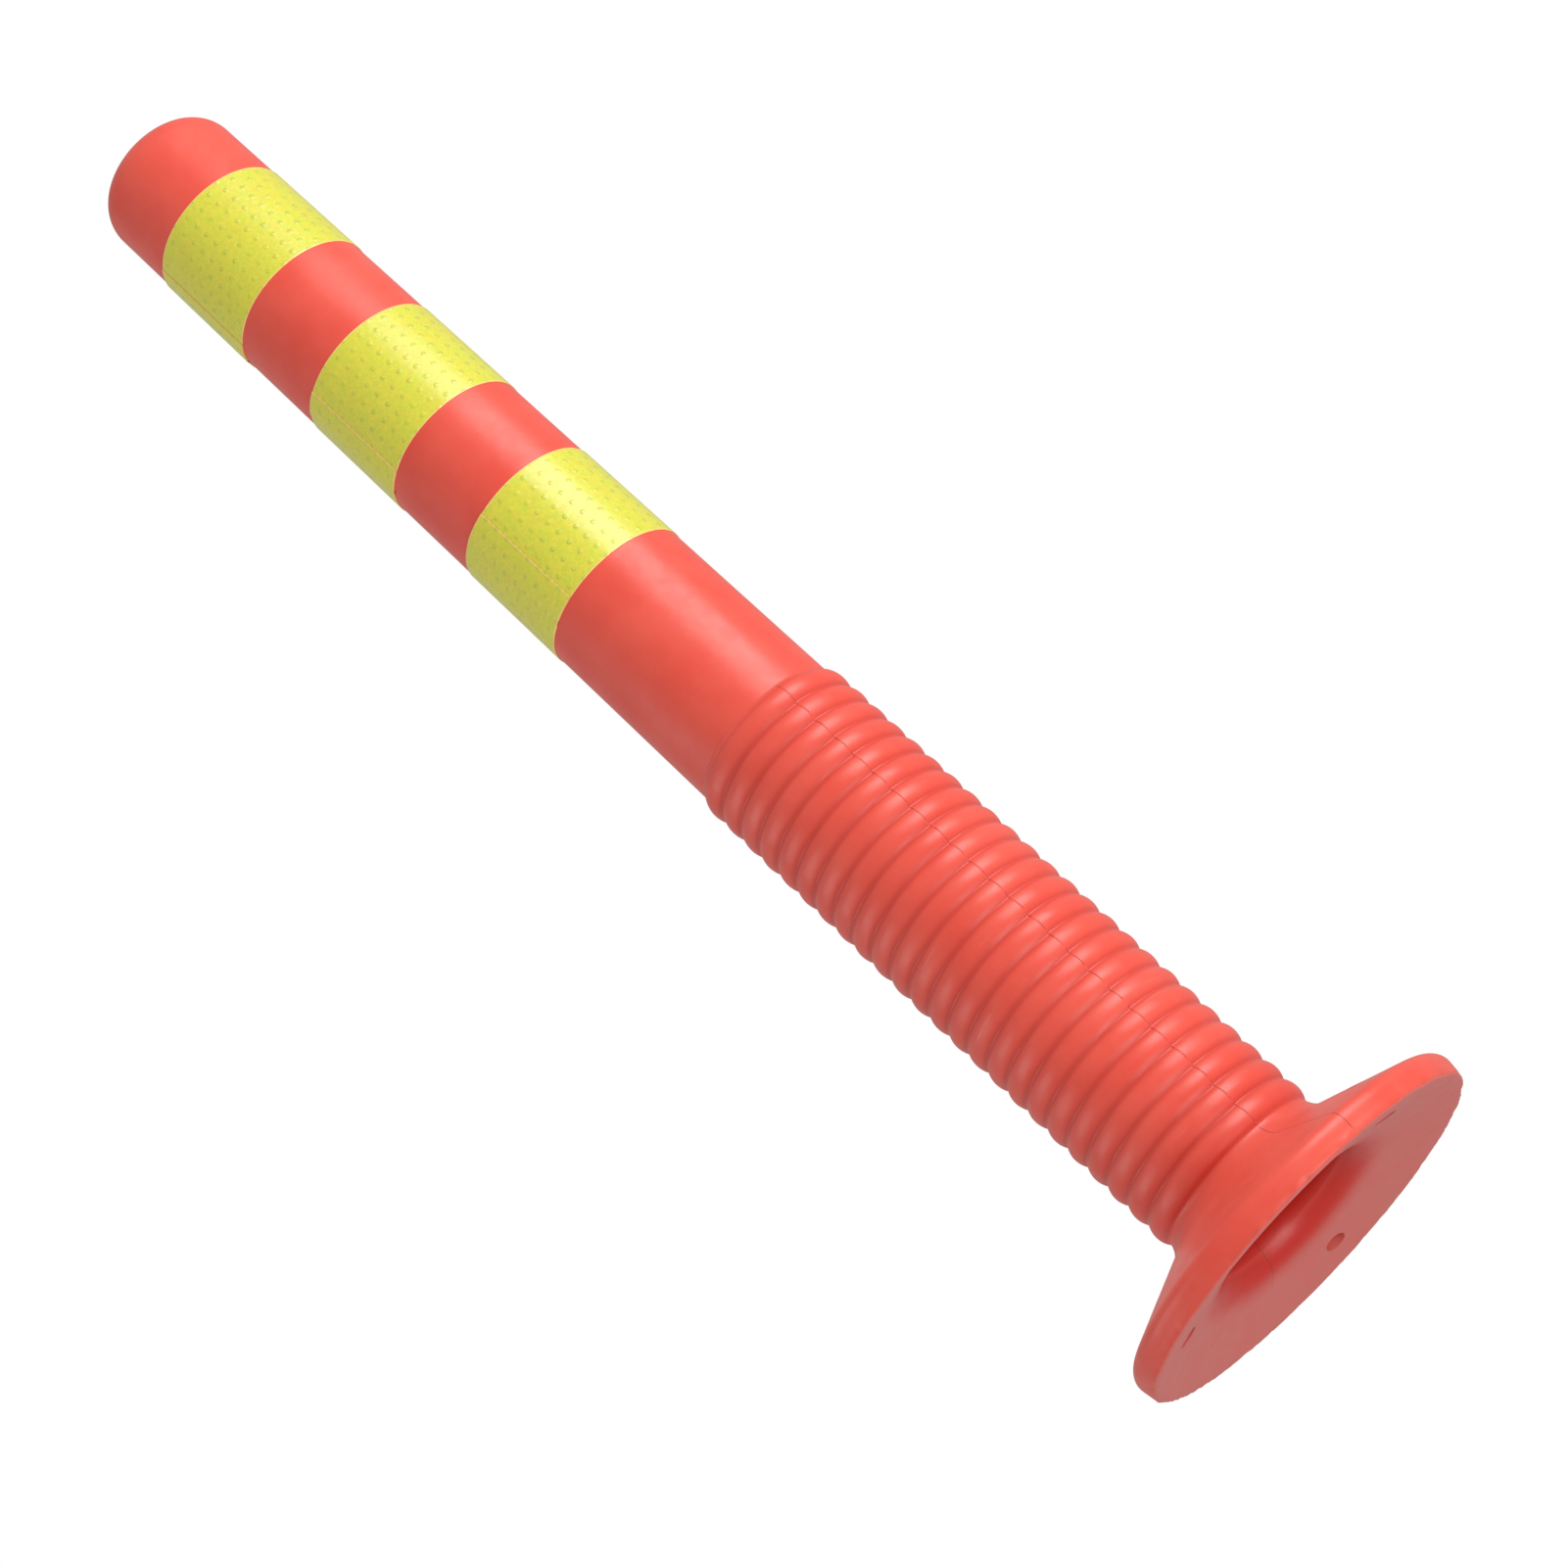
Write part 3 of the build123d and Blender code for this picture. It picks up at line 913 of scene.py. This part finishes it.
    def mark_underside(self, foot: bpy.types.Object) -> None:
        """Stores each point's share of the underside's dusty film and painted sheen: 1 under the foot,
        fading up the bore and the rim.
        """
        points = point_places(foot.data)
        radius = np.hypot(points[:, 0], points[:, 1])
        depth = points[:, 2] - np.interp(radius, self.underneath[:, 0], self.underneath[:, 1])
        under = smooth_step(np.abs(depth), 0.9 * MM, 0.2 * MM) * smooth_step(radius, 40 * MM, 56 * MM)
        land = smooth_step(points[:, 2], 0.6 * MM, 0.1 * MM) * (radius > 80 * MM)
        dust_and_sheen = np.maximum(under, land)
        store(foot.data, "dust_and_sheen", np.repeat(dust_and_sheen[:, None], 3, 1))


@dataclass
class Tube:
    """The plain tube with its rounded shoulder, shallow dome and hollow inside."""

    wall: Wall
    material: bpy.types.Material
    shoulder: float = 14.0 * MM
    dome: float = 3.0 * MM
    top_wall: float = 5.0 * MM
    step: float = 5.0 * MM

    def half(self, radius_at: Sequence[float], top: float, edge: float) -> Array:
        """Outline up a side, round the shoulder and over the dome to the axis.

        The shoulder is a quarter circle and the dome an arc whose centre is on the axis.

        Args:
            radius_at: radius at the low end and below the shoulder.
            top: height of the dome's middle.
            edge: radius of the shoulder.

        Returns:
            Array of (radius, height) rows.
        """
        start = np.array([radius_at[0], self.wall.tube_low])
        side_top = np.array([radius_at[1], top - self.dome - edge])
        flat = radius_at[1] - edge
        inner = np.array([flat, top - self.dome])
        centre = np.array([flat, top - self.dome - edge])
        curve = (flat**2 + self.dome**2) / (2 * self.dome)
        cap = arc(np.array([0.0, top - curve]), inner, np.array([0.0, top]), 1.5 * MM)
        side = straight(start, side_top, self.step)
        corner = arc(centre, side_top, inner, 1.0 * MM)
        return np.vstack([side, corner, cap, [(0.0, top)]])

    def build(self) -> bpy.types.Object:
        """Makes the tube.

        Returns:
            The tube's object.
        """
        top = self.wall.top
        bend = top - self.dome - self.shoulder
        ends = (self.wall.tube_low, bend)
        out = self.half([float(self.wall.tube_radius(z)) for z in ends], top, self.shoulder)
        bore = [float(self.wall.bore_radius(z)) for z in ends]
        hollow = self.half(bore, top - self.top_wall, self.shoulder - self.wall.wall)
        angles = self.wall.angles(192)
        shell = Shell("tube_moulding")
        shell.patch(turned(out, angles), Side.LEFT)
        shell.patch(turned(np.vstack([hollow[::-1], out[:1]]), angles), Side.LEFT)
        tube = shell.build(self.material)
        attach(tube, "tube")
        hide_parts("tube")
        return tube


# ---------------------------------------------------------------- the tapes


@dataclass
class WrappedTape:
    """A strip wound once round the tube and stuck over its own start."""

    wall: Wall
    node: str
    seam: float
    lap: float = math.radians(20.0)
    climb: float = math.radians(7.0)
    glue: float = 0.06 * MM
    thickness: float = 0.40 * MM
    lift: float = 0.04 * MM
    wander: float = 0.10 * MM
    edge_round: float = 0.12 * MM

    def build(self) -> bpy.types.Object:
        """Makes the tape.

        The strip's angle runs from its buried start, through a full turn, to its free end. Its
        distance from the tube is the glue line, and one thickness more from where it climbs on
        to its own start; the free end lifts a little.

        Returns:
            The tape's object.
        """
        low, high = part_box(self.node)
        bottom, top = low[2], high[2]
        width = top - bottom
        once = 2 * math.pi
        end = once + self.lap
        stretches = ((0, end, 260), (end - 0.06, end, 14), (once - self.climb, once, 16))
        run = np.unique(np.concatenate([np.linspace(*stretch) for stretch in stretches]))
        turn = self.seam - end + run
        stand = self.glue + (self.thickness + 0.02 * MM) * smooth_step(run, once - self.climb, once)
        stand = stand + self.lift * smooth_step(run, end - 0.05, end)
        low_edge = [0, 0.25 * MM, 0.8 * MM]
        high_edge = [width - 0.8 * MM, width - 0.25 * MM, width]
        rows = np.array(low_edge + [width * 0.2, width * 0.5, width * 0.8] + high_edge)
        from_edge = np.minimum(rows, width - rows)
        round_edge = self.edge_round * (1 - smooth_step(from_edge, 0, 0.3 * MM))
        height = bottom + rows[:, None] + np.zeros_like(run)
        at_edge = np.sign(width / 2 - rows) * (rows * (width - rows) < 1e-9)
        height = height + self.wander * np.sin(3 * turn + 1) * at_edge[:, None]
        height = np.clip(height, bottom, top)
        outside = self.wall.tube_radius(height) + stand + self.thickness - round_edge[:, None]
        inside = self.wall.tube_radius(height) + stand
        shell = Shell(self.node + "_film")
        faces_out = self.sheet(outside, turn, height)
        faces_in = self.sheet(inside, turn, height)
        shell.patch(faces_out, Side.LEFT, closed=False)
        shell.patch(faces_in, Side.RIGHT, closed=False)
        shell.patch(np.stack([faces_in[0], faces_out[0]]), Side.LEFT, closed=False)
        shell.patch(np.stack([faces_out[-1], faces_in[-1]]), Side.LEFT, closed=False)
        shell.patch(np.stack([faces_in[:, 0], faces_out[:, 0]]), Side.RIGHT, closed=False)
        shell.patch(np.stack([faces_in[:, -1], faces_out[:, -1]]), Side.LEFT, closed=False)
        tape = shell.build(TapeFinish(self.node + "_finish", width).build(), 35.0)
        self.mark_place(tape, bottom)
        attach(tape, "tube")
        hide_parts(self.node)
        return tape

    def sheet(self, radius: Array, turn: Array, height: Array) -> Array:
        """Grid of points from radii, angles and heights."""
        return np.stack([radius * np.cos(turn), radius * np.sin(turn), height], -1)

    def mark_place(self, tape: bpy.types.Object, bottom: float) -> None:
        """Stores each point's length along the tape, from its free end, and height up its width."""
        points = point_places(tape.data)
        back = np.mod(self.seam + 1e-4 - np.arctan2(points[:, 1], points[:, 0]), 2 * math.pi)
        along = back * self.wall.tube_radius(float(points[:, 2].mean()))
        place = np.stack([along, points[:, 2] - bottom, np.zeros(len(points))], -1)
        store(tape.data, "tape_place", place)


# ---------------------------------------------------------------- studio


@dataclass(frozen=True)
class Studio:
    """Pale floor, soft white room, a large soft lamp and the camera."""

    distance: float = 1.37408
    drop: float = 0.24832
    heading: float = math.radians(0.404)
    rise: float = math.radians(21.661)
    roll: float = math.radians(46.98)
    lens: float = 79.19
    shift: tuple[float, float] = (-0.0007, -0.0008)
    room: float = 0.42
    key_power: float = 28.5
    side_share: float = 0.16
    under_share: float = 0.30

    def camera(self) -> None:
        """Places the camera low in front of the post, looking up along it, rolled on its side."""
        data = bpy.data.cameras.new("camera")
        data.lens = self.lens
        data.sensor_width = 36.0
        data.shift_x, data.shift_y = self.shift
        data.clip_start = 0.01
        data.clip_end = 50.0
        camera = bpy.data.objects.new("camera", data)
        ahead = math.cos(self.rise)
        forward = Vector(
            (-math.sin(self.heading) * ahead, math.cos(self.heading) * ahead, math.sin(self.rise))
        )
        level = forward.cross(Vector((0, 0, 1))).normalized()
        above = level.cross(forward)
        right = level * math.cos(self.roll) - above * math.sin(self.roll)
        up = level * math.sin(self.roll) + above * math.cos(self.roll)
        axes = Matrix((right, up, -forward)).transposed()
        camera.matrix_world = Matrix.Translation((0, -self.distance, -self.drop)) @ axes.to_4x4()
        bpy.context.scene.collection.objects.link(camera)
        bpy.context.scene.camera = camera

    def world(self) -> None:
        """White room: plain white behind the post, dimmer as a light."""
        world = bpy.data.worlds.new("white_room")
        bpy.context.scene.world = world
        world.use_nodes = True
        nodes, links = world.node_tree.nodes, world.node_tree.links
        nodes.clear()
        seen = nodes.new("ShaderNodeBackground")
        light = nodes.new("ShaderNodeBackground")
        light.inputs["Strength"].default_value = self.room
        path = nodes.new("ShaderNodeLightPath")
        mix = nodes.new("ShaderNodeMixShader")
        out = nodes.new("ShaderNodeOutputWorld")
        seen.inputs["Color"].default_value = (1, 1, 1, 1)
        light.inputs["Color"].default_value = (1, 1, 1, 1)
        links.new(path.outputs["Is Camera Ray"], mix.inputs[0])
        links.new(light.outputs[0], mix.inputs[1])
        links.new(seen.outputs[0], mix.inputs[2])
        links.new(mix.outputs[0], out.inputs["Surface"])

    def lamp(self, name: str, place: Place, aim: Place, size: float, power: float) -> None:
        """One square soft lamp."""
        data = bpy.data.lights.new(name, "AREA")
        data.size = size
        data.energy = power
        lamp = bpy.data.objects.new(name, data)
        lamp.location = place
        lamp.rotation_euler = (Vector(aim) - Vector(place)).to_track_quat("-Z", "Y").to_euler()
        bpy.context.scene.collection.objects.link(lamp)

    def floor(self) -> None:
        """Pale floor, seen from above only; it takes the post's shadow and casts no light on it."""
        size, level = 6.0, -0.4 * MM
        mesh = bpy.data.meshes.new("floor")
        corners = [(x * size, y * size, level) for x, y in ((-1, -1), (1, -1), (1, 1), (-1, 1))]
        mesh.from_pydata(corners, [], [(0, 1, 2, 3)])
        floor = bpy.data.objects.new("floor", mesh)
        bpy.context.scene.collection.objects.link(floor)
        g = Graph("pale_floor")
        clouds = g.noise(g.node("ShaderNodeTexCoord").outputs["Object"], 3)
        g.feed("Base Color", g.blend(clouds, (0.80, 0.80, 0.80, 1), (0.84, 0.84, 0.84, 1)))
        g.feed("Roughness", 0.8)
        clear = g.node("ShaderNodeBsdfTransparent").outputs[0]
        back = g.node("ShaderNodeNewGeometry").outputs["Backfacing"]
        mix = g.node("ShaderNodeMixShader", {0: back, 1: g.shader.outputs[0], 2: clear})
        g.tree.links.new(mix.outputs[0], g.tree.nodes["Material Output"].inputs["Surface"])
        mesh.materials.append(g.material)
        floor.visible_diffuse = False
        floor.visible_glossy = False
        floor.visible_transmission = False
        floor.visible_shadow = False

    def build(self) -> None:
        """Makes the whole studio."""
        self.camera()
        self.world()
        self.floor()
        self.lamp("key_lamp", (1.5, -1.0, 0.9), (0, 0, 0.35), 1.3, self.key_power)
        side, under = self.key_power * self.side_share, self.key_power * self.under_share
        self.lamp("side_lamp", (-1.6, -0.2, 0.5), (0, 0, 0.35), 1.0, side)
        self.lamp("under_lamp", (0.5, -1.0, -1.0), (0, 0, 0.05), 1.0, under)
        scene = bpy.context.scene
        scene.view_settings.view_transform = "Standard"
        scene.view_settings.look = "None"


def main() -> None:
    """Builds the post's parts in order and reports each."""
    logging.basicConfig(level=logging.INFO, format="%(message)s")
    Studio().build()
    LOG.info("studio ready")
    nodes = frame["nodes"]
    wall = Wall(sum(1 for name in nodes if name.startswith("rib_")))
    moulding = MouldedFinish().build()
    foot = Foot(wall, moulding).build()
    LOG.info("%s: %d points", foot.name, len(foot.data.vertices))
    rings = CorrugatedSection(wall, moulding).build()
    LOG.info("corrugated section: %d rings", rings)
    tube = Tube(wall, moulding).build()
    LOG.info("%s: %d points", tube.name, len(tube.data.vertices))
    for node, seam in TAPE_SEAMS.items():
        tape = WrappedTape(wall, node, math.radians(seam)).build()
        LOG.info("%s: %d points", tape.name, len(tape.data.vertices))


if __name__ == "__main__":
    main()
